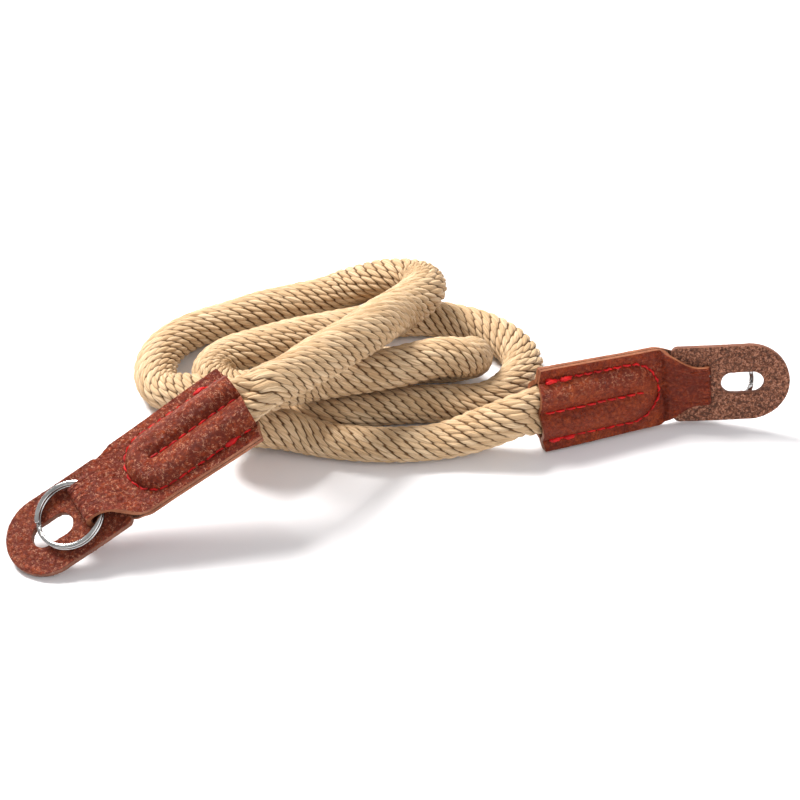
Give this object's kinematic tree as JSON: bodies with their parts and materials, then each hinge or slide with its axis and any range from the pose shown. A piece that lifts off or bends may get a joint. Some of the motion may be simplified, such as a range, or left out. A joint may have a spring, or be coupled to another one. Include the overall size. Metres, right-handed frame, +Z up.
{
  "type": "camera strap",
  "caption": "Braided cord camera strap lying in loose loops, with sewn leather end pieces, split rings and slotted leather guard pads.",
  "frame": {"origin": "on the table the strap lies on, under the middle of the box round the two leather ends, rings and pads", "axes": "+Z up from the table, +X from the left leather end to the right one, +Y to the back of the pile, away from the viewer"},
  "size_m": [0.179, 0.106, 0.0343],
  "materials": {
    "braided_cord": "soft braided cotton cord, straw beige, silky filaments",
    "grain_leather": "red-brown pebbled leather, slight gloss on the grain side, suede on the back",
    "pad_leather": "red-brown leather, grain side towards the ring, brown suede on the back",
    "ring_steel": "polished plated steel wire"
  },
  "bodies": {
    "root": {"rope": "braided_cord", "rope_tail_left": "braided_cord", "rope_tail_right": "braided_cord", "leather_end_left": "grain_leather", "leather_end_right": "grain_leather", "pad_left": "pad_leather", "pad_right": "pad_leather", "split_ring_left": "ring_steel", "split_ring_right": "ring_steel"}
  },
  "joints": []
}
